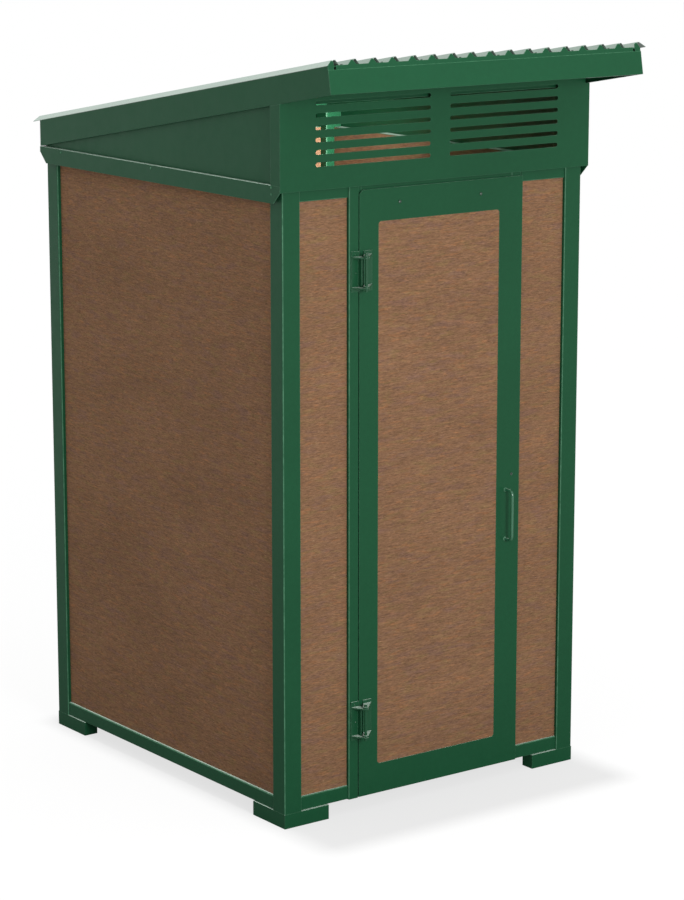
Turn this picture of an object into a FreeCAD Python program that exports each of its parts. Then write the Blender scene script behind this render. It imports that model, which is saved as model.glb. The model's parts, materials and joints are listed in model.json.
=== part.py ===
"""Garden outhouse: a steel frame of square tubes on four corner feet, walls of wood-fibre board, a slotted
vent panel above the door, and a corrugated roof that rises to the front and overhangs the door.

Millimetres. +X is to the right seen from the front, +Y runs from the door to the back, +Z is up.
The origin is on the ground, under the middle of the cabin's width and of the roof's length.
"""
import FreeCAD
import Part
import math
import os

V = FreeCAD.Vector

# ---- Overall sizes ----
WIDTH = 1253.0            # across the outer faces of the corner posts
DEPTH = 1452.0            # front face of the front posts to back face of the back posts
FOOT_HEIGHT = 50.0        # ground to the underside of the bottom rails
BOARD_HEIGHT = 1991.0     # boards' visible height, from the bottom rails to the top rails
ROOF_PITCH = 10.0         # degrees, rising to the front
FRONT_OVERHANG = 285.0    # posts' front face to the lowest front edge of the fascia
SIDE_OVERHANG = 17.0      # posts' side face to the outer face of the side fascia

# ---- Frame tubes ----
POST = 70.0               # corner post, square
POST_WALL = 3.0
TUBE_RADIUS = 5.0         # outer corner radius of every tube
RAIL_HEIGHT = 49.0        # bottom rails
RAIL_DEPTH = 50.0
RAIL_WALL = 3.0
RAIL_RECESS = 3.0         # side and back rails stand back from the posts' faces
FRONT_RECESS = 6.0        # front rails, and the jambs behind the door's sheet, stand back a little more
TOP_RAIL_HEIGHT = 55.5    # flat bars along the boards' upper edges, and tubes beside the doorway
FOOT_LEG = 53.0           # breadth of each leg of the L-shaped feet
FOOT_LENGTH_X = 181.0
FOOT_LENGTH_Y = 185.0
FLOOR_THICKNESS = 4.0
JOIST_WIDTH = 40.0
JOIST_COUNT = 2

# ---- Wall boards ----
BOARD_THICKNESS = 20.0
BOARD_RECESS = 13.0       # outer face of a board behind the posts' faces

# ---- Doorway and door ----
JAMB_INSET_HINGE = 264.5  # left posts' outer face to the outer side of the jamb on the hinge side
JAMB_INSET_LATCH = 259.5  # right posts' outer face to the outer side of the jamb on the latch side
JAMB_HINGE = 53.0         # width of the jamb on the hinge side
JAMB_LATCH = 43.5         # and on the latch side
JAMB_STEP_GAP = 2.5       # hinge jamb's raised strip to the door sheet's edge
SILL_HEIGHT = 40.0        # tube between the jambs, level with the floor
LINTEL_RISE = 7.0         # lintel's underside above the top of the boards
LINTEL_HEIGHT = 40.0
DOOR_PLATE = 3.0          # thickness of the door's face sheet
DOOR_PROUD = 2.0          # face sheet stands out from the posts' faces
DOOR_LAP_HINGE = 12.5     # face sheet over the hinge jamb
DOOR_LATCH_SHORT = 1.5    # face sheet stops this far short of the latch jamb's outer side
DOOR_TOP_RISE = 22.0      # face sheet's upper edge above the top of the boards
DOOR_BOTTOM_GAP = 2.0     # face sheet's lower edge above the bottom rail's underside
DOOR_CORNER = 12.0        # chamfer on the sheet's upper hinge corner
STILE_HINGE = 78.0        # width of sheet beside the door's board, hinge side
STILE_LATCH = 100.0       # and latch side
STILE_TOP = 107.0
STILE_BOTTOM = 104.0
WINDOW_RADIUS = 11.0      # corners of the opening that shows the board
LEAF_TUBE = 40.0          # width of the leaf's inner frame
LEAF_DEPTH = 28.0         # depth of the leaf's inner frame, behind the sheet
LEAF_WALL = 2.0
LEAF_GAP_HINGE = 6.0      # leaf's inner frame to the hinge jamb
LEAF_GAP_LATCH = 11.0     # to the latch jamb, wider because the leaf's back corner swings out
LEAF_GAP_BOTTOM = 7.0     # to the sill
LEAF_TOP_DROP = 22.0      # leaf's inner frame below the face sheet's upper edge
DOOR_BOARD = 18.0
DOOR_BOARD_BACK = 1.0     # door's board face behind the sheet's face

# ---- Hinges ----
HINGE_PIN_X = 305.0       # post's outer face to the hinge pin's axis
HINGE_PIN_OUT = 40.0      # pin's axis in front of the posts' faces
HINGE_PIN_RADIUS = 5.0
HINGE_PIN_LENGTH = 127.0
HINGE_PIN_CLEARANCE = 0.08
HINGE_BOSS_RADIUS = 10.0
HINGE_EAR = 5.0           # thickness of an ear
HINGE_EAR_GAP = 1.0       # between a frame ear and the door ear on it
HINGE_EAR_PITCH = 100.0   # between the two ears of a pair
EAR_ACROSS = 0.6          # where an ear's sides meet its boss, in boss radii along x
EAR_ALONG = 0.8           # and along y
HINGE_PLATE = 4.0
HINGE_PLATE_GAP = 5.0     # from the boss to the door's hinge plate
HINGE_PLATE_HEIGHT = 133.0
HINGE_FRAME_PLATE_WIDTH = 31.0
HINGE_WEB_OUT = 22.0      # standing web of the frame's half, in front of the posts' faces
HINGE_DOOR_PLATE_WIDTH = 34.0
HINGE_LOWER_Z = 325.0     # middle of the lower hinge above the ground
HINGE_UPPER_FROM_TOP = 264.0  # middle of the upper hinge below the door sheet's top edge

# ---- Handle and lock ----
HANDLE_Z = 947.0
HANDLE_LENGTH = 174.0     # between the centres of its two legs
HANDLE_STANDOFF = 38.0    # face of the sheet to the bar's axis
HANDLE_RADIUS = 5.0
HANDLE_BEND = 16.0
HANDLE_IN = 60.0          # bar's axis from the sheet's latch edge
LOCK_RADIUS = 5.0
LOCK_OUT = 1.0
LOCK_ABOVE = 139.0        # above the handle's middle
LOCK_IN = 35.0

# ---- Crown: skirts, gable sheets, vent panel ----
SHEET = 2.0               # thickness of the folded sheets
CROWN_OUT = 19.0          # skirt's outer face beyond the posts' side faces
VENT_OUT = 15.0           # vent panel's face in front of the posts' faces
BACK_OUT = 14.0           # back panel's and back fascia's face behind the posts' faces
SKIRT_CHAMFER = 37.0      # 45 degree cut at the skirt's lower ends
VENT_BOTTOM = 37.0        # vent panel's lower edge above the top of the boards
VENT_RETURN = 38.0        # vent panel's side returns, behind the posts' front faces
SLOT_ROWS = 6
SLOT_HEIGHT = 14.2
SLOT_PITCH = 39.3
SLOT_BOTTOM = 81.0        # lowest slot's axis above the vent panel's lower edge
SLOT_MIDDLE = 80.0        # solid strip between the two groups of slots
SLOT_LENGTH = 466.0

# ---- Roof; heights are square to the slope, from the fascia's lower edge ----
SIDE_FASCIA_HEIGHT = 89.0
FRONT_FASCIA_HEIGHT = 76.5
FASCIA_LIP = 14.0         # return along the fascia's lower edge
COMB_LAP = 15.0           # comb strip behind the front fascia's upper edge
COMB_NOTCH_IN = 24.0      # narrow gap in the comb, from each end
COMB_NOTCH = 8.0
ROOF_GAP = 1.0            # fascia's back corner above the crown's ledge
RIB_COUNT = 17
RIB_HEIGHT = 17.0
COMB_TOOTH = 14.0         # height of the comb's teeth above the roof sheet's valleys
RIB_TOP = 6.0
RIB_FOOT = 32.0
RIB_INSET = 17.0          # middle of the outermost ribs from the fascia's outer face
ROOF_SHEET = 1.5
ROOF_SHEET_SIDE = 13.5    # mean overhang of the roof sheet beyond the side fascias
ROOF_SHEET_SHIFT = 13.0   # the sheet lies this far to the right of the fascias' middle
ROOF_SHEET_BACK = 30.0    # roof sheet beyond the lower back corner, down the slope
RAFTER = 40.0             # square tube, for rafters and cross tubes
RAFTER_WALL = 3.0
PURLIN_COUNT = 4

# ---- Places that follow from the sizes ----
PITCH = math.radians(ROOF_PITCH)
ROOF_RUN = FRONT_OVERHANG + DEPTH + BACK_OUT
ROOF_LENGTH = ROOF_RUN / math.cos(PITCH)
RAFTER_TOP = SIDE_FASCIA_HEIGHT
RAFTER_BOTTOM = RAFTER_TOP - RAFTER
RIDGE = RAFTER_TOP + RIB_HEIGHT + ROOF_SHEET
ROOF_SHEET_END = ROOF_LENGTH + ROOF_SHEET_BACK
ROOF_FRONT_Y = -(ROOF_SHEET_END * math.cos(PITCH) + RIDGE * math.sin(PITCH)) / 2.0
FRONT = ROOF_FRONT_Y + FRONT_OVERHANG
BACK = FRONT + DEPTH
ROOF_BACK_Y = BACK + BACK_OUT
LEFT = -WIDTH / 2.0
RIGHT = WIDTH / 2.0
RAIL_TOP = FOOT_HEIGHT + RAIL_HEIGHT
BOARD_TOP = RAIL_TOP + BOARD_HEIGHT
FRAME_TOP = BOARD_TOP + TOP_RAIL_HEIGHT
LINTEL_BOTTOM = BOARD_TOP + LINTEL_RISE
LINTEL_TOP = LINTEL_BOTTOM + LINTEL_HEIGHT
LEDGE_TOP = FRAME_TOP + SHEET
ROOF_FRONT_Z = LEDGE_TOP + ROOF_GAP + ROOF_RUN * math.tan(PITCH)
ROOF_CREST_Z = ROOF_FRONT_Z + RIDGE
FRAME_FACE = FRONT + FRONT_RECESS
FRAME_BACK = FRAME_FACE + RAIL_DEPTH
RAIL_INNER = RAIL_RECESS + RAIL_DEPTH
BOARD_INNER = BOARD_RECESS + BOARD_THICKNESS
JAMB_LEFT = LEFT + JAMB_INSET_HINGE
DOORWAY_X0 = JAMB_LEFT + JAMB_HINGE
JAMB_RIGHT = RIGHT - JAMB_INSET_LATCH
DOORWAY_X1 = JAMB_RIGHT - JAMB_LATCH
FRONT_BAYS = ((LEFT + POST, JAMB_LEFT), (JAMB_RIGHT, RIGHT - POST))
DOOR_FACE = FRONT - DOOR_PROUD
DOOR_X0 = DOORWAY_X0 - DOOR_LAP_HINGE
DOOR_X1 = JAMB_RIGHT - DOOR_LATCH_SHORT
DOOR_Z0 = FOOT_HEIGHT + DOOR_BOTTOM_GAP
DOOR_Z1 = BOARD_TOP + DOOR_TOP_RISE
JAMB_STEP = DOOR_X0 - JAMB_STEP_GAP
PIN_X = LEFT + HINGE_PIN_X
PIN_Y = FRONT - HINGE_PIN_OUT


def box(x0, x1, y0, y1, z0, z1):
    return Part.makeBox(x1 - x0, y1 - y0, z1 - z0, V(x0, y0, z0))


def prism(points, direction):
    """A closed outline of (x, y, z) points, extruded along a vector."""
    corners = [V(*p) for p in points]
    face = Part.Face(Part.makePolygon(corners + corners[:1]))
    return face.extrude(V(*direction))


def tube(x0, x1, y0, y1, z0, z1, axis, wall):
    """A square or rectangular tube along one axis, with rounded outer corners."""
    outer = box(x0, x1, y0, y1, z0, z1)
    unit = {"x": V(1, 0, 0), "y": V(0, 1, 0), "z": V(0, 0, 1)}[axis]
    along = [e for e in outer.Edges if abs(e.tangentAt(e.FirstParameter).dot(unit)) > 0.99]
    outer = outer.makeFillet(TUBE_RADIUS, along)
    inset = {"x": (0, wall, wall), "y": (wall, 0, wall), "z": (wall, wall, 0)}[axis]
    inner = box(x0 + inset[0], x1 - inset[0], y0 + inset[1], y1 - inset[1], z0 + inset[2], z1 - inset[2])
    return outer.cut(inner)


def roof_point(x, u, v):
    """A point of the roof: u down the slope from the front fascia, v square to the slope."""
    y = ROOF_FRONT_Y + u * math.cos(PITCH) + v * math.sin(PITCH)
    z = ROOF_FRONT_Z - u * math.sin(PITCH) + v * math.cos(PITCH)
    return (x, y, z)


def roof_box(x0, x1, u0, u1, v0, v1):
    """A box that lies along the roof's slope."""
    outline = [roof_point(x0, u, v) for u, v in ((u0, v0), (u1, v0), (u1, v1), (u0, v1))]
    return prism(outline, (x1 - x0, 0, 0))


def roof_tube(x0, x1, u0, u1, axis):
    """A square tube under the roof sheet: along the slope ("u") or across it ("x")."""
    w = RAFTER_WALL
    outer = roof_box(x0, x1, u0, u1, RAFTER_BOTTOM, RAFTER_TOP)
    across, along = (w, 0) if axis == "u" else (0, w)
    inner = roof_box(x0 + across, x1 - across, u0 + along, u1 - along, RAFTER_BOTTOM + w, RAFTER_TOP - w)
    return outer.cut(inner)


def roof_height(y, level):
    """Height above the ground, at this y, of the plane at a level above the fascia's lower edge."""
    start = roof_point(0, 0, level)
    return start[2] - (y - start[1]) * math.tan(PITCH)


def below_roof(shape, level):
    """What of a shape lies below the plane at this level above the fascia's lower edge."""
    reach = 4.0 * ROOF_LENGTH
    cutter = roof_box(LEFT - WIDTH, RIGHT + WIDTH, -reach, reach, level, level + reach)
    return shape.cut(cutter)


def cut_plumb(shape):
    """A piece of the roof cut off upright against the inside of the back fascia."""
    inside = ROOF_BACK_Y - SHEET
    return shape.cut(box(LEFT - WIDTH, RIGHT + WIDTH, inside, inside + DEPTH, 0, 2.0 * ROOF_CREST_Z))


def mirrored(shape):
    """The same piece on the other side of the middle."""
    return shape.mirror(V(0, 0, 0), V(1, 0, 0))


def foot(x_outer, x_inward, y_outer, y_inward):
    """An L-shaped corner foot, flush with the post's two outer faces."""
    along_x = sorted((x_outer, x_outer + x_inward * FOOT_LENGTH_X))
    leg_x = sorted((x_outer, x_outer + x_inward * FOOT_LEG))
    along_y = sorted((y_outer, y_outer + y_inward * FOOT_LENGTH_Y))
    leg_y = sorted((y_outer, y_outer + y_inward * FOOT_LEG))
    one = box(along_x[0], along_x[1], leg_y[0], leg_y[1], 0, FOOT_HEIGHT)
    two = box(leg_x[0], leg_x[1], along_y[0], along_y[1], 0, FOOT_HEIGHT)
    return one.fuse(two).removeSplitter()


def post(x0, y0):
    """A corner post, cut off along the underside of the rafters."""
    tall = tube(x0, x0 + POST, y0, y0 + POST, FOOT_HEIGHT, ROOF_CREST_Z, "z", POST_WALL)
    return below_roof(tall, RAFTER_BOTTOM)


def side_bottom_rail():
    x0 = LEFT + RAIL_RECESS
    return tube(x0, x0 + RAIL_DEPTH, FRONT + POST, BACK - POST, FOOT_HEIGHT, RAIL_TOP, "y", RAIL_WALL)


def back_bottom_rail():
    y1 = BACK - RAIL_RECESS
    return tube(LEFT + POST, RIGHT - POST, y1 - RAIL_DEPTH, y1, FOOT_HEIGHT, RAIL_TOP, "x", RAIL_WALL)


def side_top_rail():
    """A flat bar on the outside of the side board's upper edge."""
    return box(LEFT + RAIL_RECESS, LEFT + BOARD_RECESS, FRONT + POST, BACK - POST, BOARD_TOP, FRAME_TOP)


def back_top_rail():
    """A flat bar on the outside of the back board's upper edge."""
    return box(LEFT + POST, RIGHT - POST, BACK - BOARD_RECESS, BACK - RAIL_RECESS, BOARD_TOP, FRAME_TOP)


def front_rails(z0, z1):
    """The two short tubes across the front, each from a corner post to the jamb beside it."""
    return Part.makeCompound([tube(x0, x1, FRAME_FACE, FRAME_BACK, z0, z1, "x", RAIL_WALL)
                              for x0, x1 in FRONT_BAYS])


def doorway_rail(z0, z1):
    """A tube between the jambs."""
    return tube(DOORWAY_X0, DOORWAY_X1, FRAME_FACE, FRAME_BACK, z0, z1, "x", RAIL_WALL)


def jambs():
    """The doorway's two uprights, from beside the feet to the top of the lintel.

    The one on the hinge side is folded: beside the door's sheet its face comes out level with the posts.
    """
    w = RAIL_WALL
    z0, z1 = FOOT_HEIGHT, LINTEL_TOP
    latch = tube(DOORWAY_X1, JAMB_RIGHT, FRAME_FACE, FRAME_BACK, z0, z1, "z", w)
    hinge = tube(JAMB_LEFT, DOORWAY_X0, FRONT, FRAME_BACK, z0, z1, "z", w)
    hinge = hinge.cut(box(JAMB_STEP, DOORWAY_X0, FRONT, FRAME_FACE, z0, z1))
    shelf = box(JAMB_STEP - w, DOORWAY_X0 - w, FRAME_FACE, FRAME_FACE + w, z0, z1)
    step = box(JAMB_STEP - w, JAMB_STEP, FRONT + w, FRAME_FACE, z0, z1)
    return Part.makeCompound([hinge.fuse([shelf, step]).removeSplitter(), latch])


def side_board():
    x0 = LEFT + BOARD_RECESS
    return box(x0, x0 + BOARD_THICKNESS, FRONT + POST, BACK - POST, RAIL_TOP, FRAME_TOP)


def back_board():
    y1 = BACK - BOARD_RECESS
    return box(LEFT + POST, RIGHT - POST, y1 - BOARD_THICKNESS, y1, RAIL_TOP, FRAME_TOP)


def front_boards():
    """The two narrow boards beside the doorway."""
    y0 = FRONT + BOARD_RECESS
    return Part.makeCompound([box(x0, x1, y0, y0 + BOARD_THICKNESS, RAIL_TOP, BOARD_TOP)
                              for x0, x1 in FRONT_BAYS])


def floor():
    """A steel floor sheet inside the bottom rails, level with their tops."""
    z0 = RAIL_TOP - FLOOR_THICKNESS
    sheet = box(LEFT + RAIL_INNER, RIGHT - RAIL_INNER, FRAME_BACK, BACK - RAIL_INNER, z0, RAIL_TOP)
    corners = None
    for x0 in (LEFT, RIGHT - POST):
        for y0 in (FRONT, BACK - POST):
            corner = box(x0, x0 + POST, y0, y0 + POST, z0 - 1, RAIL_TOP + 1)
            corners = corner if corners is None else corners.fuse(corner)
    return sheet.cut(corners)


def floor_joists():
    """Tubes under the floor sheet, from the sill to the back rail."""
    joists = []
    for i in range(JOIST_COUNT):
        x0 = LEFT + WIDTH * (i + 1) / (JOIST_COUNT + 1) - JOIST_WIDTH / 2.0
        joists.append(tube(x0, x0 + JOIST_WIDTH, FRAME_BACK, BACK - RAIL_INNER,
                           FOOT_HEIGHT, RAIL_TOP - FLOOR_THICKNESS, "y", RAIL_WALL))
    return Part.makeCompound(joists)


def skirt():
    """Left side of the crown: a folded sheet over the top rail, its ledge covering the board's top."""
    x0 = LEFT - CROWN_OUT
    y0 = FRONT - VENT_OUT + SHEET
    y1 = BACK + BACK_OUT - SHEET
    face = prism([(x0, y0, LEDGE_TOP), (x0, y0, BOARD_TOP + SKIRT_CHAMFER),
                  (x0, y0 + SKIRT_CHAMFER, BOARD_TOP), (x0, y1 - SKIRT_CHAMFER, BOARD_TOP),
                  (x0, y1, BOARD_TOP + SKIRT_CHAMFER), (x0, y1, LEDGE_TOP)], (SHEET, 0, 0))
    ledge = box(x0, LEFT, y0, y1, FRAME_TOP, LEDGE_TOP)
    cover = box(LEFT, LEFT + BOARD_INNER, FRONT + POST, BACK - POST, FRAME_TOP, LEDGE_TOP)
    return face.fuse([ledge, cover]).removeSplitter()


def gable():
    """Left gable sheet, standing on the ledge and going up behind the side fascia."""
    sheet = box(LEFT - SHEET, LEFT, FRONT, BACK, LEDGE_TOP, ROOF_CREST_Z)
    return below_roof(sheet, RAFTER_TOP)


def vent_slots():
    """Two groups of level slots with round ends, cut through the vent panel."""
    radius = SLOT_HEIGHT / 2.0
    y0 = FRONT - VENT_OUT - 1
    depth = SHEET + 2
    tools = []
    for side in (-1, 1):
        inner = side * SLOT_MIDDLE / 2.0
        outer = inner + side * SLOT_LENGTH
        x0, x1 = sorted((inner, outer))
        for row in range(SLOT_ROWS):
            z = BOARD_TOP + VENT_BOTTOM + SLOT_BOTTOM + row * SLOT_PITCH
            tools.append(box(x0 + radius, x1 - radius, y0, y0 + depth, z - radius, z + radius))
            for x in (x0 + radius, x1 - radius):
                tools.append(Part.makeCylinder(radius, depth, V(x, y0, z), V(0, 1, 0)))
    return tools[0].fuse(tools[1:])


def vent_panel():
    """Slotted sheet above the door, with side returns that stand on the ledges."""
    y0 = FRONT - VENT_OUT
    z0 = BOARD_TOP + VENT_BOTTOM
    x0 = LEFT - CROWN_OUT
    face = box(x0, -x0, y0, y0 + SHEET, z0, ROOF_CREST_Z)
    side = box(x0, x0 + SHEET, y0, FRONT + VENT_RETURN, LEDGE_TOP, ROOF_CREST_Z)
    wide = face.fuse([side, mirrored(side)])
    middle = box(LEFT, RIGHT, y0, y0 + SHEET, z0, ROOF_CREST_Z)
    shape = below_roof(wide, -ROOF_GAP / 2.0).fuse(below_roof(middle, RAFTER_BOTTOM))
    return shape.removeSplitter().cut(vent_slots())


def back_upper_panel():
    """Plain strip above the back wall, with a ledge that covers the top of the back board."""
    y1 = BACK + BACK_OUT
    x0 = LEFT - CROWN_OUT
    face = box(x0, -x0, y1 - SHEET, y1, BOARD_TOP + VENT_BOTTOM, LEDGE_TOP)
    cover = box(LEFT + POST, RIGHT - POST, BACK - BOARD_INNER, y1, FRAME_TOP, LEDGE_TOP)
    return face.fuse(cover).removeSplitter()


def fascia_side():
    """Left fascia: a sheet along the slope, with a lip along its lower edge."""
    x0 = LEFT - SIDE_OVERHANG
    face = roof_box(x0, x0 + SHEET, SHEET, ROOF_SHEET_END, 0, SIDE_FASCIA_HEIGHT)
    lip = roof_box(x0, x0 + FASCIA_LIP, FASCIA_LIP, ROOF_LENGTH - FASCIA_LIP, 0, SHEET)
    return cut_plumb(face).fuse(lip).removeSplitter()


def fascia_back():
    """Back fascia: upright, from just above the crown's ledge to the roof sheet."""
    x0 = LEFT - SIDE_OVERHANG
    sheet = box(x0, -x0, ROOF_BACK_Y - SHEET, ROOF_BACK_Y, LEDGE_TOP + ROOF_GAP, ROOF_CREST_Z)
    return below_roof(sheet, RAFTER_TOP)


def rib_outline(base, height, outside):
    """(x, v) points of the ribbed line across the roof; it ends at +-outside."""
    half = -LEFT + SIDE_OVERHANG - RIB_INSET
    pitch = 2 * half / (RIB_COUNT - 1)
    points = []
    for i in range(RIB_COUNT):
        x = -half + i * pitch
        points += [(x - RIB_FOOT / 2.0, base), (x - RIB_TOP / 2.0, base + height),
                   (x + RIB_TOP / 2.0, base + height), (x + RIB_FOOT / 2.0, base)]
    return [(-outside, base)] + points[1:-1] + [(outside, base)]


def ribbed_sheet():
    """Corrugated roof sheet: ribs down the slope, laid a little to the right of the fascias' middle."""
    outside = -LEFT + SIDE_OVERHANG + ROOF_SHEET_SIDE
    upper = rib_outline(RAFTER_TOP + ROOF_SHEET, RIB_HEIGHT, outside)
    lower = rib_outline(RAFTER_TOP, RIB_HEIGHT, outside)
    u0 = 2 * SHEET
    outline = [roof_point(x + ROOF_SHEET_SHIFT, u0, v) for x, v in upper + lower[::-1]]
    end = roof_point(0, ROOF_SHEET_END, 0)
    start = roof_point(0, u0, 0)
    return prism(outline, [e - s for e, s in zip(end, start)])


def fascia_front():
    """Front fascia: a lip, a face, and behind its upper edge a comb in front of the ends of the ribs."""
    x0 = LEFT - SIDE_OVERHANG
    face = roof_box(x0, -x0, 0, SHEET, 0, FRONT_FASCIA_HEIGHT)
    lip = roof_box(x0 + SHEET, -x0 - SHEET, 0, FASCIA_LIP, 0, SHEET)
    inner = -x0 - SHEET
    foot_level = FRONT_FASCIA_HEIGHT - COMB_LAP
    teeth = rib_outline(RAFTER_TOP + ROOF_SHEET, COMB_TOOTH, inner)
    outline = [roof_point(x, SHEET, v) for x, v in [(-inner, foot_level)] + teeth + [(inner, foot_level)]]
    step = [b - a for a, b in zip(roof_point(0, 0, 0), roof_point(0, SHEET, 0))]
    comb = prism(outline, step)
    for notch in (x0 + COMB_NOTCH_IN, -x0 - COMB_NOTCH_IN - COMB_NOTCH):
        comb = comb.cut(roof_box(notch, notch + COMB_NOTCH, 0, 3 * SHEET, FRONT_FASCIA_HEIGHT, RIDGE + 1))
    return face.fuse([lip, comb]).removeSplitter()


def rafter():
    """Left rafter, from the front fascia's comb to the back fascia."""
    return cut_plumb(roof_tube(LEFT, LEFT + RAFTER, 2 * SHEET, ROOF_SHEET_END, "u"))


def purlins():
    """Cross tubes between the rafters, evenly spaced from the front fascia to the back one."""
    shapes = []
    first = 2 * SHEET
    last = ROOF_LENGTH - RAFTER - RAFTER_TOP * math.tan(PITCH) - 2 * SHEET
    for i in range(PURLIN_COUNT):
        u = first + (last - first) * i / (PURLIN_COUNT - 1)
        shapes.append(roof_tube(LEFT + RAFTER, RIGHT - RAFTER, u, u + RAFTER, "x"))
    return shapes


def wall_plate():
    """Tube across the front posts, under the rafters, behind the vent panel."""
    z1 = roof_height(FRAME_BACK, RAFTER_BOTTOM)
    return tube(LEFT + POST, RIGHT - POST, FRAME_FACE, FRAME_BACK, z1 - RAIL_HEIGHT, z1, "x", RAIL_WALL)


def rounded_window(x0, x1, y0, y1, z0, z1):
    """A block with rounded corners in the plane of the door."""
    block = box(x0, x1, y0, y1, z0, z1)
    edges = [e for e in block.Edges if abs(e.tangentAt(e.FirstParameter).y) > 0.99]
    return block.makeFillet(WINDOW_RADIUS, edges)


def window_box():
    return (DOOR_X0 + STILE_HINGE, DOOR_X1 - STILE_LATCH, DOOR_Z0 + STILE_BOTTOM, DOOR_Z1 - STILE_TOP)


def door_sheet():
    """The door's face sheet, which laps over the jambs and hides the sill."""
    y0, y1 = DOOR_FACE, DOOR_FACE + DOOR_PLATE
    c = DOOR_CORNER
    sheet = prism([(DOOR_X0, y0, DOOR_Z0), (DOOR_X1, y0, DOOR_Z0), (DOOR_X1, y0, DOOR_Z1),
                   (DOOR_X0 + c, y0, DOOR_Z1), (DOOR_X0, y0, DOOR_Z1 - c)], (0, DOOR_PLATE, 0))
    x0, x1, z0, z1 = window_box()
    return sheet.cut(rounded_window(x0, x1, y0 - 1, y1 + 1, z0, z1))


def leaf_box():
    return (DOORWAY_X0 + LEAF_GAP_HINGE, DOORWAY_X1 - LEAF_GAP_LATCH,
            RAIL_TOP + LEAF_GAP_BOTTOM, DOOR_Z1 - LEAF_TOP_DROP)


def leaf_members():
    """Tubes behind the face sheet, inside the doorway: the two stiles, and the two rails between them."""
    x0, x1, z0, z1 = leaf_box()
    y0 = DOOR_FACE + DOOR_PLATE
    y1 = y0 + LEAF_DEPTH
    w = LEAF_TUBE
    stiles = [tube(x, x + w, y0, y1, z0, z1, "z", LEAF_WALL) for x in (x0, x1 - w)]
    rails = [tube(x0 + w, x1 - w, y0, y1, z, z + w, "x", LEAF_WALL) for z in (z0, z1 - w)]
    return Part.makeCompound(stiles), Part.makeCompound(rails)


def door_board():
    """The door's board: its raised middle fills the sheet's opening, its edge sits between the tubes."""
    x0, x1, z0, z1 = leaf_box()
    w = LEAF_TUBE
    back = DOOR_FACE + DOOR_PLATE
    core = box(x0 + w, x1 - w, back, back + DOOR_BOARD, z0 + w, z1 - w)
    fx0, fx1, fz0, fz1 = window_box()
    raised = rounded_window(fx0, fx1, DOOR_FACE + DOOR_BOARD_BACK, back, fz0, fz1)
    return core.fuse(raised).removeSplitter()


def handle():
    """A round bar bent to a D, its two legs welded to the face sheet."""
    x = DOOR_X1 - HANDLE_IN
    y_face = DOOR_FACE
    y_bar = DOOR_FACE - HANDLE_STANDOFF
    z0 = HANDLE_Z - HANDLE_LENGTH / 2.0
    z1 = HANDLE_Z + HANDLE_LENGTH / 2.0
    r = HANDLE_BEND
    s = r * (1 - math.sqrt(0.5))
    path = Part.Wire([
        Part.LineSegment(V(x, y_face, z0), V(x, y_bar + r, z0)).toShape(),
        Part.Arc(V(x, y_bar + r, z0), V(x, y_bar + s, z0 + s), V(x, y_bar, z0 + r)).toShape(),
        Part.LineSegment(V(x, y_bar, z0 + r), V(x, y_bar, z1 - r)).toShape(),
        Part.Arc(V(x, y_bar, z1 - r), V(x, y_bar + s, z1 - s), V(x, y_bar + r, z1)).toShape(),
        Part.LineSegment(V(x, y_bar + r, z1), V(x, y_face, z1)).toShape()])
    ring = Part.Wire([Part.makeCircle(HANDLE_RADIUS, V(x, y_face, z0), V(0, 1, 0))])
    return path.makePipeShell([ring], True, False)


def lock():
    """The lock's round face above the handle."""
    centre = V(DOOR_X1 - LOCK_IN, DOOR_FACE - LOCK_OUT, HANDLE_Z + LOCK_ABOVE)
    return Part.makeCylinder(LOCK_RADIUS, LOCK_OUT, centre, V(0, 1, 0))


def ear(x_root0, x_root1, y_root, z0):
    """A tapered ear from a hinge plate to the round boss on the pin's axis."""
    boss = Part.makeCylinder(HINGE_BOSS_RADIUS, HINGE_EAR, V(PIN_X, PIN_Y, z0))
    near = min((x_root0, x_root1), key=lambda x: abs(x - PIN_X))
    far = x_root1 if near == x_root0 else x_root0
    side = 1.0 if far > PIN_X else -1.0
    r = HINGE_BOSS_RADIUS
    across, along = side * r * EAR_ACROSS, r * EAR_ALONG
    web = prism([(near, y_root, z0), (far, y_root, z0), (PIN_X + across, PIN_Y - along, z0),
                 (PIN_X - across, PIN_Y + along, z0)], (0, 0, HINGE_EAR))
    return boss.fuse(web)


def hinge_levels(middle):
    """Undersides of the two frame ears of a hinge; a door ear rides on each."""
    low = middle - (HINGE_EAR_PITCH + 2 * HINGE_EAR + HINGE_EAR_GAP) / 2.0
    return [low, low + HINGE_EAR_PITCH]


def hinge_frame_plate(middle):
    """Fixed half of a hinge: an angle on the jamb, whose web stands between two ears that hold the pin."""
    x1 = JAMB_STEP
    x0 = x1 - HINGE_FRAME_PLATE_WIDTH
    half = HINGE_PLATE_HEIGHT / 2.0
    low, high = hinge_levels(middle)
    shape = box(x0, x1, FRONT - HINGE_PLATE, FRONT, middle - half, middle + half)
    web = box(x1 - HINGE_PLATE, x1, FRONT - HINGE_WEB_OUT, FRONT, low, high + HINGE_EAR)
    shape = shape.fuse([web] + [ear(x0, x1, FRONT - HINGE_PLATE, z) for z in (low, high)])
    bore = Part.makeCylinder(HINGE_PIN_RADIUS, HINGE_PLATE_HEIGHT, V(PIN_X, PIN_Y, middle - half))
    return shape.cut(bore).removeSplitter()


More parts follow.
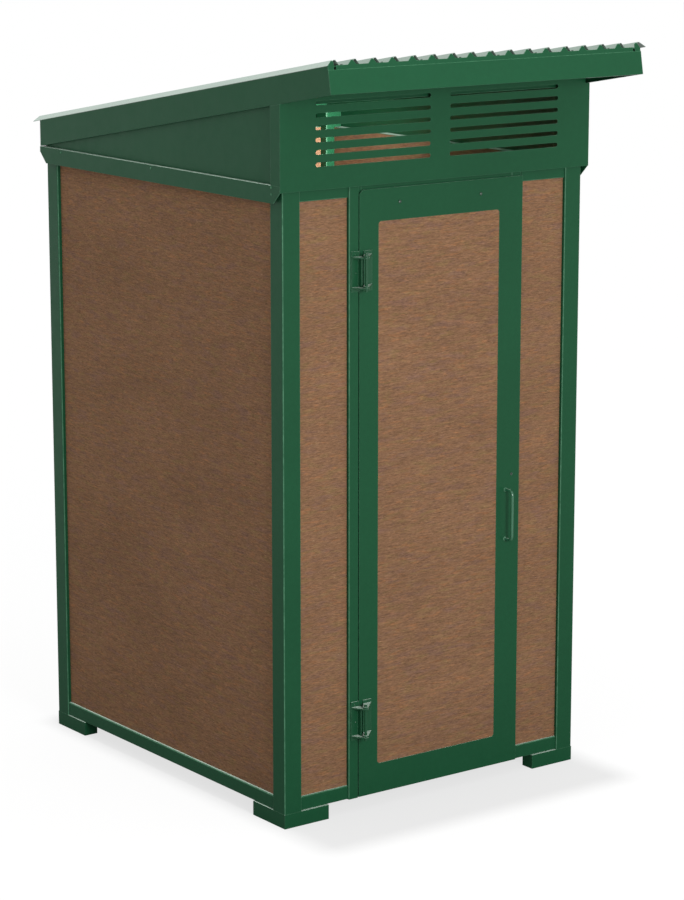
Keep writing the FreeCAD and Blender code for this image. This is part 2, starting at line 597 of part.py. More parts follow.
def hinge_door_plate(middle):
    """Moving half: a plate on the face sheet with two ears that ride on the frame's ears."""
    x0 = PIN_X + HINGE_BOSS_RADIUS + HINGE_PLATE_GAP
    x1 = x0 + HINGE_DOOR_PLATE_WIDTH
    half = HINGE_PLATE_HEIGHT / 2.0
    shape = box(x0, x1, DOOR_FACE - HINGE_PLATE, DOOR_FACE, middle - half, middle + half)
    lift = HINGE_EAR + HINGE_EAR_GAP
    parts = [ear(x0, x1, DOOR_FACE - HINGE_PLATE, z + lift) for z in hinge_levels(middle)]
    shape = shape.fuse(parts)
    bore = Part.makeCylinder(HINGE_PIN_RADIUS + HINGE_PIN_CLEARANCE, HINGE_PLATE_HEIGHT,
                             V(PIN_X, PIN_Y, middle - half))
    return shape.cut(bore).removeSplitter()


def hinge_pin(middle):
    low = middle - HINGE_PIN_LENGTH / 2.0
    return Part.makeCylinder(HINGE_PIN_RADIUS, HINGE_PIN_LENGTH, V(PIN_X, PIN_Y, low))


def build():
    nodes = {}
    for side, x_outer, x_in, x_post in (("left", LEFT, 1, LEFT), ("right", RIGHT, -1, RIGHT - POST)):
        nodes["foot_front_" + side] = foot(x_outer, x_in, FRONT, 1)
        nodes["foot_back_" + side] = foot(x_outer, x_in, BACK, -1)
        nodes["post_front_" + side] = post(x_post, FRONT)
        nodes["post_back_" + side] = post(x_post, BACK - POST)
    pairs = (("bottom_rail", side_bottom_rail()), ("top_rail", side_top_rail()),
             ("wall_board", side_board()), ("fascia", fascia_side()))
    for name, shape in pairs:
        nodes[name + "_left"] = shape
        nodes[name + "_right"] = mirrored(shape)
    for name, shape in (("crown_skirts", skirt()), ("gable_sheets", gable()), ("rafters", rafter())):
        nodes[name] = Part.makeCompound([shape, mirrored(shape)])
    nodes["bottom_rail_back"] = back_bottom_rail()
    nodes["bottom_rails_front"] = front_rails(FOOT_HEIGHT, RAIL_TOP)
    nodes["top_rail_back"] = back_top_rail()
    nodes["top_rails_front"] = front_rails(BOARD_TOP, FRAME_TOP)
    nodes["door_jambs"] = jambs()
    nodes["door_sill"] = doorway_rail(RAIL_TOP - SILL_HEIGHT, RAIL_TOP)
    nodes["door_lintel"] = doorway_rail(LINTEL_BOTTOM, LINTEL_TOP)
    nodes["front_wall_plate"] = wall_plate()
    nodes["front_boards"] = front_boards()
    nodes["wall_board_back"] = back_board()
    nodes["floor_sheet"] = floor()
    nodes["floor_joists"] = floor_joists()
    nodes["vent_panel"] = vent_panel()
    nodes["back_upper_panel"] = back_upper_panel()
    nodes["fascia_front"] = fascia_front()
    nodes["fascia_back"] = fascia_back()
    nodes["roof_sheet"] = ribbed_sheet()
    nodes["purlins"] = Part.makeCompound(purlins())
    nodes["door_sheet"] = door_sheet()
    nodes["door_board"] = door_board()
    nodes["door_stiles"], nodes["door_rails"] = leaf_members()
    nodes["door_handle"] = handle()
    nodes["door_lock"] = lock()
    middles = (HINGE_LOWER_Z, DOOR_Z1 - HINGE_UPPER_FROM_TOP)
    nodes["hinge_frame_plates"] = Part.makeCompound([hinge_frame_plate(m) for m in middles])
    nodes["hinge_door_plates"] = Part.makeCompound([hinge_door_plate(m) for m in middles])
    nodes["hinge_pins"] = Part.makeCompound([hinge_pin(m) for m in middles])
    return nodes


os.makedirs("parts", exist_ok=True)
for node_name, node_shape in build().items():
    node_shape.exportStep("parts/" + node_name + ".step")
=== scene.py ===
"""The looks of the garden outhouse: green painted steel, wood-fibre boards, a pale corrugated roof,
the small fastenings on them, and a plain white studio.

Metres. +X is to the right seen from the front, +Y runs from the door to the back, +Z is up.
"""
import bmesh
import bpy
import json
import math
import random
from mathutils import Matrix, Vector


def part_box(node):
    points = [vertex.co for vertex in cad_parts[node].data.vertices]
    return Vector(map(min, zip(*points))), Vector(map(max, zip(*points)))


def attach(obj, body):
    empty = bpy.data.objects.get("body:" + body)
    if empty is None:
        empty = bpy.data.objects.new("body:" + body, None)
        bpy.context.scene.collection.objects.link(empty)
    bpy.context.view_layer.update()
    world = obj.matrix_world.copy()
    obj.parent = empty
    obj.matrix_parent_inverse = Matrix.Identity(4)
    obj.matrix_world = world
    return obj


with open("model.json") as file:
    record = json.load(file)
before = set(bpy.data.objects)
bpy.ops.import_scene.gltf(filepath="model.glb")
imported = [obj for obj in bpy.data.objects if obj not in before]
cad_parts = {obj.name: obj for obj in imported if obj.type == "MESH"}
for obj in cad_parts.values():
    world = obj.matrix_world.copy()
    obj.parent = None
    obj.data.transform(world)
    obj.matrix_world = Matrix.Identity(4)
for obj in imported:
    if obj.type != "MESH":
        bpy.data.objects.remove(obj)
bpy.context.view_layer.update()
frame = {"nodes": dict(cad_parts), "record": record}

# ---- Places read from the frame ----
POST_LOW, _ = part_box("post_front_left")
SHEET_LOW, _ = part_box("door_sheet")
SKIRT_LOW, SKIRT_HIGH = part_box("crown_skirts")
ROOF_LOW, ROOF_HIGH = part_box("roof_sheet")
LOCK_LOW, LOCK_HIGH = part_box("door_lock")
HANDLE_LOW, HANDLE_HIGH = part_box("door_handle")
FRAME_PLATE_LOW, FRAME_PLATE_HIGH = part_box("hinge_frame_plates")
_, DOOR_PLATE_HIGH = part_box("hinge_door_plates")
LEFT = POST_LOW.x                              # outer face of the left posts
FRONT = POST_LOW.y                             # front face of the front posts

# ---- Sizes of the small things ----
HINGE_HEIGHT = 0.133
HINGE_PLATE = 0.004
PITCH = math.radians(10.0)                     # the roof's slope
RIB_HEIGHT = 0.017                             # roof sheet's ribs above its valleys, square to the slope
SHEET_START = 0.004                            # roof sheet's front edge behind the fascia's face
RIB_COUNT = 17
RIB_SPAN = 1.253                               # about the distance between the outermost ribs
PURLIN_FIRST = 0.024                           # middle of the first cross tube, down the slope
PURLIN_PITCH = 0.5716
PURLIN_COUNT = 4
HANDLE_RADIUS = 0.005
DOOR_SCREW_X = (0.4696, 0.8106)                # from the left posts' outer face
DOOR_SCREW_Z = 2.0634
SCREW_RADIUS_DOOR = 0.0055
SCREW_RADIUS_HINGE = 0.0034
SCREW_RADIUS_SKIRT = 0.0036
SCREW_RADIUS_ROOF = 0.0042
HINGE_WELD = 0.0016                            # radius of the hinges' weld beads
WELD_END = 0.006                               # bare length of a hinge plate at each end of its weld


# ---------------------------------------------------------------- materials
class Graph:
    """A material's node graph, with short ways to add the nodes used here."""

    def __init__(self, name):
        self.material = bpy.data.materials.new(name)
        self.material.use_nodes = True
        self.tree = self.material.node_tree
        self.shader = self.tree.nodes["Principled BSDF"]
        self.texture = self.node("ShaderNodeTexCoord")
        self.coordinates = self.texture.outputs["Object"]

    def node(self, kind, **settings):
        made = self.tree.nodes.new(kind)
        for key, value in settings.items():
            setattr(made, key, value)
        return made

    def link(self, source, target):
        self.tree.links.new(source, target)

    def set(self, **values):
        for key, value in values.items():
            self.shader.inputs[key.replace("_", " ")].default_value = value

    def noise(self, scale, stretch=(1, 1, 1), shift=0.0, detail=2.0, rough=0.5, distortion=0.0):
        mapping = self.node("ShaderNodeMapping")
        mapping.inputs["Scale"].default_value = [scale * s for s in stretch]
        mapping.inputs["Location"].default_value = (shift, shift * 1.7, shift * 0.6)
        self.link(self.coordinates, mapping.inputs["Vector"])
        noise = self.node("ShaderNodeTexNoise")
        noise.inputs["Scale"].default_value = 1.0
        noise.inputs["Detail"].default_value = detail
        noise.inputs["Roughness"].default_value = rough
        noise.inputs["Distortion"].default_value = distortion
        self.link(mapping.outputs["Vector"], noise.inputs["Vector"])
        return noise.outputs["Fac"]

    def remap(self, value, low, high, to_low, to_high):
        node = self.node("ShaderNodeMapRange")
        for key, number in zip(("From Min", "From Max", "To Min", "To Max"), (low, high, to_low, to_high)):
            node.inputs[key].default_value = number
        self.link(value, node.inputs["Value"])
        return node.outputs["Result"]

    def maths(self, operation, first, second):
        node = self.node("ShaderNodeMath", operation=operation)
        for slot, value in zip(node.inputs, (first, second)):
            if isinstance(value, (int, float)):
                slot.default_value = value
            else:
                self.link(value, slot)
        return node.outputs["Value"]

    def mix(self, factor, first, second):
        """Colours mixed by a factor; a colour may be an output or three numbers."""
        node = self.node("ShaderNodeMix", data_type="RGBA")
        for slot, value in ((node.inputs[0], factor), (node.inputs[6], first), (node.inputs[7], second)):
            if isinstance(value, tuple):
                slot.default_value = (*value, 1.0)
            elif isinstance(value, (int, float)):
                slot.default_value = value
            else:
                self.link(value, slot)
        return node.outputs[2]

    def shade(self, colour, value):
        """A colour made lighter or darker by a number around 1."""
        node = self.node("ShaderNodeVectorMath", operation="SCALE")
        if isinstance(colour, tuple):
            node.inputs[0].default_value = colour
        else:
            self.link(colour, node.inputs[0])
        self.link(value, node.inputs["Scale"])
        return node.outputs["Vector"]

    def soft_edges(self, radius):
        """Normal with softened edges, and how near a point is to such an edge, from 0 to 1."""
        bevel = self.node("ShaderNodeBevel", samples=4)
        bevel.inputs["Radius"].default_value = radius
        geometry = self.node("ShaderNodeNewGeometry")
        dot = self.node("ShaderNodeVectorMath", operation="DOT_PRODUCT")
        self.link(bevel.outputs["Normal"], dot.inputs[0])
        self.link(geometry.outputs["Normal"], dot.inputs[1])
        return bevel.outputs["Normal"], self.remap(dot.outputs["Value"], 0.985, 0.86, 0.0, 1.0)

    def own_normal(self):
        """The surface's direction in the piece's own axes, as three outputs."""
        split = self.node("ShaderNodeSeparateXYZ")
        self.link(self.texture.outputs["Normal"], split.inputs["Vector"])
        return split.outputs

    def facing_up(self):
        """1 on level surfaces that face up, 0 on the rest."""
        return self.remap(self.own_normal()[2], 0.90, 0.99, 0.0, 1.0)

    def between_axes(self):
        """1 on the rounded corners of upright and level tubes, 0 on their flat sides."""
        x, y, z = (self.maths("ABSOLUTE", part, 0.0) for part in self.own_normal())
        largest = self.maths("MAXIMUM", self.maths("MAXIMUM", x, y), z)
        return self.remap(largest, 0.975, 0.80, 0.0, 1.0)

    def bump(self, height, distance, strength, normal=None):
        node = self.node("ShaderNodeBump")
        node.inputs["Distance"].default_value = distance
        node.inputs["Strength"].default_value = strength
        self.link(height, node.inputs["Height"])
        if normal is not None:
            self.link(normal, node.inputs["Normal"])
        return node.outputs["Normal"]

    def finish(self, colour, roughness, normal):
        self.link(colour, self.shader.inputs["Base Color"])
        self.link(roughness, self.shader.inputs["Roughness"])
        self.link(normal, self.shader.inputs["Normal"])
        return self.material


def paint(name, colour, roughness=0.40, specular=0.10, highlight_fillets=True):
    """Semi-gloss coat on steel: faint orange peel, edges made paler partly as wear and partly as a painted
    highlight, and a painted highlight on surfaces that face up.
    """
    g = Graph(name)
    tone = g.remap(g.noise(2.2, detail=3.0, shift=3.1), 0.3, 0.7, 0.95, 1.05)
    mottle = g.remap(g.noise(60.0, detail=3.0, shift=7.7), 0.3, 0.7, 0.965, 1.035)
    body = g.shade(g.shade(colour, tone), mottle)
    normal, edge = g.soft_edges(0.0020)
    # When the fillet flag is on, the tubes' rounded corners are made paler as well: a painted highlight.
    if highlight_fillets:
        edge = g.maths("MAXIMUM", edge, g.between_axes())
    # Edges are mixed towards a paler green, in patches: partly wear, partly a painted highlight.
    edge_wear_and_sheen = g.remap(g.noise(38.0, detail=4.0, rough=0.65, shift=1.3), 0.35, 0.62, 0.45, 1.0)
    body = g.mix(g.maths("MULTIPLY", g.maths("MULTIPLY", edge, edge_wear_and_sheen), 0.8), body, (0.075, 0.190, 0.115))
    # Painted highlight: surfaces that face up are mixed towards a pale tone, as if lit from above.
    top_sheen_amount = g.remap(g.noise(30.0, detail=3.0, shift=4.4), 0.3, 0.7, 0.75, 0.95)
    body = g.mix(g.maths("MULTIPLY", g.facing_up(), top_sheen_amount), body, (0.40, 0.50, 0.43))
    peel = g.bump(g.noise(420.0, detail=1.0), 0.0003, 0.25, normal)
    wave = g.bump(g.noise(5.5, detail=1.0, shift=5.0), 0.002, 0.12, peel)
    rough = g.remap(g.noise(24.0, detail=3.0, shift=9.2), 0.3, 0.7, roughness - 0.04, roughness + 0.05)
    g.set(Specular_IOR_Level=specular)
    return g.finish(body, rough, wave)


def fibre_board():
    """Brown wood-fibre board: fine level streaks, with rusty, olive and purplish flecks."""
    g = Graph("wood_fibre_board")
    fine = g.noise(30.0, stretch=(1.0, 1.0, 9.0), detail=4.0, rough=0.68, distortion=0.25)
    hair = g.noise(75.0, stretch=(1.0, 1.0, 6.0), detail=2.0, rough=0.6, shift=2.0)
    streak = g.maths("ADD", g.remap(fine, 0.30, 0.70, -0.27, 0.27), g.remap(hair, 0.3, 0.7, -0.22, 0.22))
    fleck = (1.0, 1.0, 4.5)
    rust = g.remap(g.noise(20.0, stretch=(1.0, 1.0, 6.0), detail=3.0, rough=0.6, shift=11.0),
                   0.55, 0.68, 0.0, 0.8)
    olive = g.remap(g.noise(13.0, stretch=fleck, detail=3.0, rough=0.6, shift=23.0), 0.50, 0.68, 0.0, 0.7)
    purple = g.remap(g.noise(12.0, stretch=fleck, detail=3.0, rough=0.6, shift=37.0), 0.52, 0.68, 0.0, 0.6)
    speck = g.remap(g.noise(110.0, stretch=(1.0, 1.0, 3.0), detail=1.0, shift=5.0), 0.68, 0.78, 0.0, 0.55)
    colour = g.mix(olive, (0.1460, 0.0790, 0.0440), (0.1490, 0.0930, 0.0420))
    colour = g.mix(rust, colour, (0.1900, 0.0900, 0.0430))
    colour = g.mix(purple, colour, (0.1270, 0.0710, 0.0530))
    colour = g.mix(speck, colour, (0.2300, 0.1450, 0.0850))
    broad = g.remap(g.noise(2.6, stretch=(1.0, 1.0, 2.0), detail=3.0, shift=1.0), 0.3, 0.7, 0.93, 1.07)
    colour = g.shade(g.shade(colour, g.maths("ADD", streak, 1.0)), broad)
    normal, edge = g.soft_edges(0.0015)
    colour = g.mix(g.maths("MULTIPLY", edge, 0.35), colour, (0.2100, 0.1300, 0.0850))
    rough = g.remap(fine, 0.3, 0.7, 0.74, 0.88)
    g.set(Specular_IOR_Level=0.03)
    return g.finish(colour, rough, g.bump(fine, 0.0006, 0.35, normal))


def roof_coat():
    """Pale grey-green coated sheet, with faint runs down the slope and cloudy changes of tone."""
    g = Graph("roof_sheet_finish")
    run = g.noise(26.0, stretch=(1.0, 0.06, 0.3), detail=3.0)
    cloud = g.noise(3.0, detail=4.0, shift=4.0)
    colour = g.mix(g.remap(cloud, 0.35, 0.7, 0.0, 0.6), (0.130, 0.180, 0.150), (0.175, 0.215, 0.185))
    colour = g.shade(colour, g.remap(run, 0.3, 0.7, 0.95, 1.05))
    normal, edge = g.soft_edges(0.0012)
    colour = g.mix(g.maths("MULTIPLY", edge, 0.25), colour, (0.30, 0.34, 0.31))
    rough = g.remap(cloud, 0.3, 0.7, 0.24, 0.34)
    g.set(Specular_IOR_Level=0.6)
    return g.finish(colour, rough, g.bump(g.noise(300.0, detail=1.0), 0.0002, 0.2, normal))


def bare_metal(name, colour, base_rough):
    """Turned or drawn steel with fine marks round and along it."""
    g = Graph(name)
    marks = g.noise(90.0, stretch=(1.0, 1.0, 12.0), detail=3.0)
    tarnish = g.noise(55.0, detail=3.0, shift=6.0)
    body = g.mix(g.remap(tarnish, 0.4, 0.75, 0.0, 0.5), colour, tuple(c * 0.6 for c in colour))
    rough = g.remap(marks, 0.3, 0.7, base_rough - 0.07, base_rough + 0.1)
    g.set(Metallic=1.0)
    return g.finish(body, rough, g.bump(marks, 0.0001, 0.3))


def trodden_floor():
    """Dark coated floor sheet, dulled and scuffed where people stand."""
    g = Graph("floor_steel")
    dust = g.noise(4.0, detail=5.0, rough=0.6, shift=2.0)
    scratch = g.noise(40.0, stretch=(1.0, 0.15, 1.0), detail=4.0, rough=0.7, distortion=1.2)
    colour = g.mix(g.remap(dust, 0.4, 0.7, 0.0, 0.7), (0.030, 0.055, 0.040), (0.085, 0.090, 0.080))
    colour = g.mix(g.remap(scratch, 0.62, 0.72, 0.0, 0.6), colour, (0.13, 0.14, 0.135))
    rough = g.remap(dust, 0.3, 0.7, 0.45, 0.75)
    g.set(Specular_IOR_Level=0.35)
    return g.finish(colour, rough, g.bump(scratch, 0.0003, 0.3))


GREEN = (0.0062, 0.0500, 0.0205)
MATERIALS = {
    "green_paint": paint("green_paint", GREEN),
    "wood_fibre_board": fibre_board(),
    "roof_sheet_finish": roof_coat(),
    "floor_steel": trodden_floor(),
    "bare_steel": bare_metal("bare_steel", (0.10, 0.13, 0.11), 0.42),
}
SMALL_PARTS = paint("small_parts_paint", GREEN, roughness=0.34, specular=0.20, highlight_fillets=False)
# The handle's paint is a lighter copy of the green: painted light, making the bar brighter than the door it
# stands on.
HANDLE_LIT_PAINT = paint("handle_paint_lit_copy", (0.018, 0.095, 0.048), roughness=0.20, specular=0.60, highlight_fillets=False)
# Near-black coat for the keyway: painted shade in place of a hollow.
KEYWAY_PAINTED_SHADE = bare_metal("keyway_shadow", (0.02, 0.02, 0.02), 0.6)
SLOT_OF = {row["node"]: row["material_slot"] for row in frame["record"]["subparts"]}
for node_name, node_object in frame["nodes"].items():
    node_object.data.materials.clear()
    node_object.data.materials.append(MATERIALS[SLOT_OF[node_name]])
for node_name in ("hinge_frame_plates", "hinge_door_plates", "hinge_pins"):
    frame["nodes"][node_name].data.materials[0] = SMALL_PARTS
frame["nodes"]["door_handle"].data.materials[0] = HANDLE_LIT_PAINT


# ---------------------------------------------------------------- small pieces
def placed(point, normal):
    """The place of a small turned thing that stands on a surface at a point."""
    return Matrix.Translation(point) @ Vector(normal).to_track_quat("Z", "Y").to_matrix().to_4x4()


def lathe(bm, profile, place, sides=20):
    """A closed turned solid from (radius, height) points."""
    rings = []
    for radius, height in profile:
        count = sides if radius > 0 else 1
        rings.append([bm.verts.new(place @ Vector((radius * math.cos(a), radius * math.sin(a), height)))
                      for a in (2 * math.pi * i / sides for i in range(count))])
    for low, high in zip(rings, rings[1:]):
        for i in range(sides):
            j = (i + 1) % sides
            corners = [low[i % len(low)], low[j % len(low)], high[j % len(high)], high[i % len(high)]]
            bm.faces.new(list(dict.fromkeys(corners)))


def make_piece(name, bm, body, material, sharp=35.0):
    """A mesh piece that rides on a body."""
    bmesh.ops.recalc_face_normals(bm, faces=bm.faces)
    for edge in bm.edges:
        edge.smooth = edge.calc_face_angle(math.pi) < math.radians(sharp)
    for face in bm.faces:
        face.smooth = True
    mesh = bpy.data.meshes.new(name)
    bm.to_mesh(mesh)
    bm.free()
    mesh.materials.append(material)
    piece = bpy.data.objects.new(name, mesh)
    bpy.context.scene.collection.objects.link(piece)
    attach(piece, body)


def button_screw(bm, point, normal, radius):
    """A low domed head with a round socket."""
    r, place = radius, placed(point, normal)
    lathe(bm, [(0, -0.0004), (r, -0.0004), (r, 0.10 * r), (0.93 * r, 0.30 * r), (0.72 * r, 0.50 * r),
               (0.46 * r, 0.58 * r), (0.40 * r, 0.54 * r), (0.38 * r, 0.16 * r), (0, 0.12 * r)], place)


def hex_screw(bm, point, normal, radius):
    """A hexagon head on a flanged washer."""
    r, place = radius, placed(point, normal)
    lathe(bm, [(0, -0.0004), (1.75 * r, -0.0004), (1.75 * r, 0.16 * r), (1.55 * r, 0.32 * r),
               (0.9 * r, 0.36 * r), (0, 0.36 * r)], place, 24)
    lathe(bm, [(0, 0.3 * r), (r, 0.3 * r), (r, 0.95 * r), (0.86 * r, 1.12 * r), (0, 1.12 * r)], place, 6)


def weld(bm, start, end, out, radius):
    """A weld bead along a line, rippled as it was laid, its middle standing out along a direction."""
    start, end, out = Vector(start), Vector(end), Vector(out).normalized()
    along = (end - start).normalized()
    side = along.cross(out)
    steps = max(6, int((end - start).length / 0.0012))
    rings = []
    for i in range(steps + 1):
        share = i / steps
        taper = min(1.0, 6.0 * share + 0.25, 6.0 * (1 - share) + 0.25)
        swell = radius * taper * (1.0 + 0.16 * math.sin(i * 1.9) + random.uniform(-0.06, 0.06))
        centre = start.lerp(end, share)
        rings.append([bm.verts.new(centre + (side * math.cos(a) + out * math.sin(a)) * swell)
                      for a in (math.pi * k / 6.0 for k in range(7))])
    for low, high in zip(rings, rings[1:]):
        for k in range(6):
            bm.faces.new((low[k], low[k + 1], high[k + 1], high[k]))
        bm.faces.new((low[6], low[0], high[0], high[6]))
    bm.faces.new(rings[0])
    bm.faces.new(rings[-1])


def roof_valley(x, u):
    """A point of the roof sheet's valleys, u down the slope from the front fascia."""
    down = u - SHEET_START
    z = ROOF_HIGH.z - down * math.sin(PITCH) - RIB_HEIGHT / math.cos(PITCH)
    return Vector((x, ROOF_LOW.y + down * math.cos(PITCH), z))


def roof_screws():
    """Flanged screws in every second valley, over each of the four cross tubes."""
    bm = bmesh.new()
    first = (ROOF_LOW.x + ROOF_HIGH.x - RIB_SPAN) / 2
    pitch = RIB_SPAN / (RIB_COUNT - 1)
    normal = (0, math.sin(PITCH), math.cos(PITCH))
    for row in range(PURLIN_COUNT):
        for i in range(0, RIB_COUNT - 1, 2):
            place = roof_valley(first + (i + 0.5) * pitch, PURLIN_FIRST + row * PURLIN_PITCH)
            hex_screw(bm, place, normal, SCREW_RADIUS_ROOF)
    make_piece("roof_screws", bm, "cabin", MATERIALS["bare_steel"])


def door_screws():
    """Two screws through the door's top band."""
    bm = bmesh.new()
    for x in DOOR_SCREW_X:
        button_screw(bm, (LEFT + x, SHEET_LOW.y, DOOR_SCREW_Z), (0, -1, 0), SCREW_RADIUS_DOOR)
    make_piece("door_screws", bm, "door", MATERIALS["bare_steel"])


def hinge_fastenings():
    """Screws and welds of the two hinges' fixed plates and moving plates."""
    fixed, moving = bmesh.new(), bmesh.new()
    frame_x0, frame_y = FRAME_PLATE_LOW.x, FRONT - HINGE_PLATE
    door_x1, door_y = DOOR_PLATE_HIGH.x, SHEET_LOW.y - HINGE_PLATE
    for low in (FRAME_PLATE_LOW.z, FRAME_PLATE_HIGH.z - HINGE_HEIGHT):
        middle = low + HINGE_HEIGHT / 2
        for x, z in ((0.014, 0.056), (0.017, -0.005)):
            button_screw(fixed, (frame_x0 + x, frame_y, middle + z), (0, -1, 0), SCREW_RADIUS_HINGE)
        weld(fixed, (frame_x0, FRONT, low + WELD_END), (frame_x0, FRONT, low + HINGE_HEIGHT - WELD_END),
             (-1, -1, 0), HINGE_WELD)
        for z in (0.050, -0.050):
            button_screw(moving, (door_x1 - 0.011, door_y, middle + z), (0, -1, 0), SCREW_RADIUS_HINGE)
        weld(moving, (door_x1, SHEET_LOW.y, low + WELD_END),
             (door_x1, SHEET_LOW.y, low + HINGE_HEIGHT - WELD_END), (1, -1, 0), HINGE_WELD)
    make_piece("hinge_frame_fastenings", fixed, "cabin", SMALL_PARTS)
    make_piece("hinge_door_fastenings", moving, "door", SMALL_PARTS)


def handle_welds():
    """Fillet welds round the handle's two legs."""
    bm = bmesh.new()
    x = (HANDLE_LOW.x + HANDLE_HIGH.x) / 2
    for z in (HANDLE_LOW.z + HANDLE_RADIUS, HANDLE_HIGH.z - HANDLE_RADIUS):
        lathe(bm, [(0.0046, 0), (0.0082, 0), (0.0074, 0.0012), (0.0060, 0.0026), (0.0046, 0.0036),
                   (0.0046, 0)], placed((x, SHEET_LOW.y, z), (0, -1, 0)), 28)
    bmesh.ops.remove_doubles(bm, verts=bm.verts, dist=1e-6)
    make_piece("handle_welds", bm, "door", MATERIALS["green_paint"], 60.0)


def keyhole():
    """The lock's narrow ring, and in it a thin near-black piece: painted shade that stands for the keyway's
    hollow.
    """
    x, z = (LOCK_LOW.x + LOCK_HIGH.x) / 2, (LOCK_LOW.z + LOCK_HIGH.z) / 2
    bm = bmesh.new()
    lathe(bm, [(0.0034, 0), (0.0048, 0), (0.0047, 0.0005), (0.0040, 0.0007), (0.0034, 0.0004), (0.0034, 0)],
          placed((x, LOCK_LOW.y, z), (0, -1, 0)), 28)
    bmesh.ops.remove_doubles(bm, verts=bm.verts, dist=1e-6)
    make_piece("lock_ring", bm, "door", MATERIALS["bare_steel"], 60.0)
    # The keyway is a thin near-black piece on the lock's face: painted shade, not a hollow.
    bm = bmesh.new()
    lathe(bm, [(0, 0), (0.0014, 0), (0.0014, 0.0003), (0, 0.0003)],
          placed((x, LOCK_LOW.y, z + 0.0012), (0, -1, 0)), 16)
    corners = [(-0.0007, 0.0010), (0.0007, 0.0010), (0.0007, -0.0028), (-0.0007, -0.0028)]
    near, far = ([bm.verts.new((x + a, LOCK_LOW.y - d, z + b)) for a, b in corners] for d in (0.0, 0.0003))
    bm.faces.new(near)
    bm.faces.new(far)
    for i in range(4):
        bm.faces.new((near[i], near[(i + 1) % 4], far[(i + 1) % 4], far[i]))
    make_piece("lock_keyway_shade", bm, "door", KEYWAY_PAINTED_SHADE)


def skirt_screws():
    """Screws that hold the crown's skirts, the same on both sides."""
    bm = bmesh.new()
    for y, z in ((0.035, 2.141), (0.035, 2.119), (1.324, 2.136), (0.74, 2.136)):
        button_screw(bm, (SKIRT_LOW.x, FRONT + y, z), (-1, 0, 0), SCREW_RADIUS_SKIRT)
        button_screw(bm, (SKIRT_HIGH.x, FRONT + y, z), (1, 0, 0), SCREW_RADIUS_SKIRT)
    make_piece("skirt_screws", bm, "cabin", MATERIALS["green_paint"])


random.seed(11)
roof_screws()
door_screws()
hinge_fastenings()
handle_welds()
keyhole()
skirt_screws()


# ---------------------------------------------------------------- studio
FLOOR_SEEN = 0.722                             # the floor's own glow, as the camera sees it
FLOOR_NEAR, FLOOR_FAR = 0.12, 0.95             # what it throws on the cabin, from near and from far
FLOOR_FADE = (0.8, 9.0)                        # distances from the middle between which that changes


def studio_floor():
    """A wide pale floor that glows; it throws less light back on the cabin from near the middle."""
    material = bpy.data.materials.new("studio_floor")
    material.use_nodes = True
    tree = material.node_tree
    shader = tree.nodes["Principled BSDF"]
    shader.inputs["Base Color"].default_value = (0.10, 0.10, 0.10, 1.0)
    shader.inputs["Roughness"].default_value = 1.0
    shader.inputs["Specular IOR Level"].default_value = 0.0
    shader.inputs["Emission Color"].default_value = (1.0, 1.0, 1.0, 1.0)
    place = tree.nodes.new("ShaderNodeNewGeometry")
    distance = tree.nodes.new("ShaderNodeVectorMath")
    distance.operation = "LENGTH"
    fade = tree.nodes.new("ShaderNodeMapRange")
    numbers = (*FLOOR_FADE, FLOOR_NEAR, FLOOR_FAR)
    for key, number in zip(("From Min", "From Max", "To Min", "To Max"), numbers):
        fade.inputs[key].default_value = number
    ray = tree.nodes.new("ShaderNodeLightPath")
    choose = tree.nodes.new("ShaderNodeMix")
    choose.inputs[3].default_value = FLOOR_SEEN
    tree.links.new(place.outputs["Position"], distance.inputs[0])
    tree.links.new(distance.outputs["Value"], fade.inputs["Value"])
    tree.links.new(ray.outputs["Is Camera Ray"], choose.inputs[0])
    tree.links.new(fade.outputs["Result"], choose.inputs[2])
    tree.links.new(choose.outputs[0], shader.inputs["Emission Strength"])
    bm = bmesh.new()
    bmesh.ops.create_grid(bm, x_segments=4, y_segments=4, size=150.0)
    mesh = bpy.data.meshes.new("studio_floor")
    bm.to_mesh(mesh)
    bm.free()
    mesh.materials.append(material)
    floor = bpy.data.objects.new("studio_floor", mesh)
    bpy.context.scene.collection.objects.link(floor)


def sun(name, azimuth, elevation, energy, spread):
    """A distant lamp; azimuth is measured from the front towards the right."""
    lamp = bpy.data.lights.new(name, "SUN")
    lamp.energy = energy
    lamp.angle = math.radians(spread)
    lamp_object = bpy.data.objects.new(name, lamp)
    a, e = math.radians(azimuth), math.radians(elevation)
    towards = Vector((math.sin(a) * math.cos(e), -math.cos(a) * math.cos(e), math.sin(e)))
    lamp_object.rotation_mode = "QUATERNION"
    lamp_object.rotation_quaternion = towards.to_track_quat("Z", "Y")
    bpy.context.scene.collection.objects.link(lamp_object)


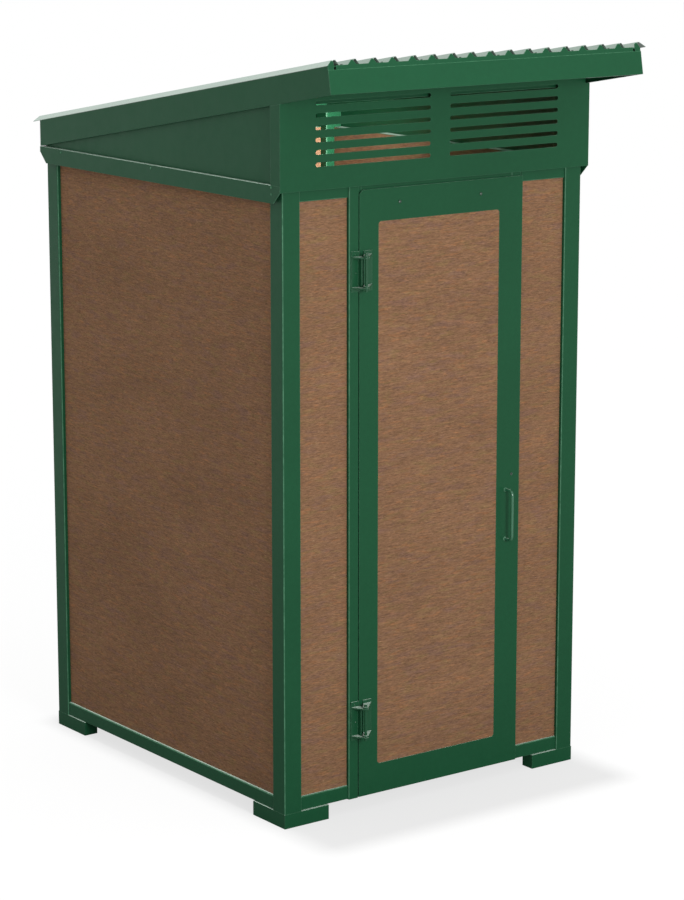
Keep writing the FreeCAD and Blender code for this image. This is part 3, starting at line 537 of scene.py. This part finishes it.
def softbox(name, azimuth, distance, height, size, energy, aim=1.3):
    """A square lamp that stands near the cabin, aimed at a height over its middle; azimuth as for a sun."""
    lamp = bpy.data.lights.new(name, "AREA")
    lamp.shape = "SQUARE"
    lamp.size = size
    lamp.energy = energy
    lamp_object = bpy.data.objects.new(name, lamp)
    a = math.radians(azimuth)
    lamp_object.location = (math.sin(a) * distance, -math.cos(a) * distance, height)
    away = lamp_object.location - Vector((0, 0, aim))
    lamp_object.rotation_mode = "QUATERNION"
    lamp_object.rotation_quaternion = away.to_track_quat("Z", "Y")
    lamp_object.visible_camera = False
    bpy.context.scene.collection.objects.link(lamp_object)


def cabin_light():
    """A soft lamp inside, under the front of the roof, aimed at the top of the back wall."""
    lamp = bpy.data.lights.new("cabin_light", "AREA")
    lamp.shape = "SQUARE"
    lamp.size = 0.14
    lamp.spread = math.radians(80.0)
    lamp.energy = 24.0
    lamp_object = bpy.data.objects.new("cabin_light", lamp)
    lamp_object.location = (0.42, FRONT + 0.40, 2.28)
    lamp_object.rotation_mode = "QUATERNION"
    lamp_object.rotation_quaternion = Vector((0.34, -1.0, 0.18)).to_track_quat("Z", "Y")
    lamp_object.visible_camera = False
    bpy.context.scene.collection.objects.link(lamp_object)


def white_world():
    world = bpy.data.worlds.new("studio")
    world.use_nodes = True
    background = world.node_tree.nodes["Background"]
    background.inputs["Color"].default_value = (1.0, 1.0, 1.0, 1.0)
    background.inputs["Strength"].default_value = 1.0
    bpy.context.scene.world = world
    bpy.context.scene.view_settings.view_transform = "Standard"


# The camera stands in front and to the left, a little above the roof.
AZIMUTH, ELEVATION = math.radians(-36.44), math.radians(12.17)
CAMERA_FROM_CORNER = Vector((-5.326, -7.533, 3.281))
LENS_HEIGHTS = 3.2428                          # focal length over the picture's height


def make_camera():
    data = bpy.data.cameras.new("camera")
    data.sensor_width = 36.0
    data.lens = LENS_HEIGHTS * data.sensor_width
    data.clip_end = 400.0
    camera = bpy.data.objects.new("camera", data)
    camera.location = Vector((LEFT, FRONT, 0)) + CAMERA_FROM_CORNER
    back = Vector((math.sin(AZIMUTH) * math.cos(ELEVATION), -math.cos(AZIMUTH) * math.cos(ELEVATION),
                   math.sin(ELEVATION)))
    camera.rotation_mode = "QUATERNION"
    camera.rotation_quaternion = (-back).to_track_quat("-Z", "Y")
    bpy.context.scene.collection.objects.link(camera)
    bpy.context.scene.camera = camera


studio_floor()
white_world()
sun("overhead", 0.0, 89.9, 5.6, 3.0)
softbox("front_softbox", -10.0, 8.0, 3.0, 2.4, 470.0)
cabin_light()
make_camera()
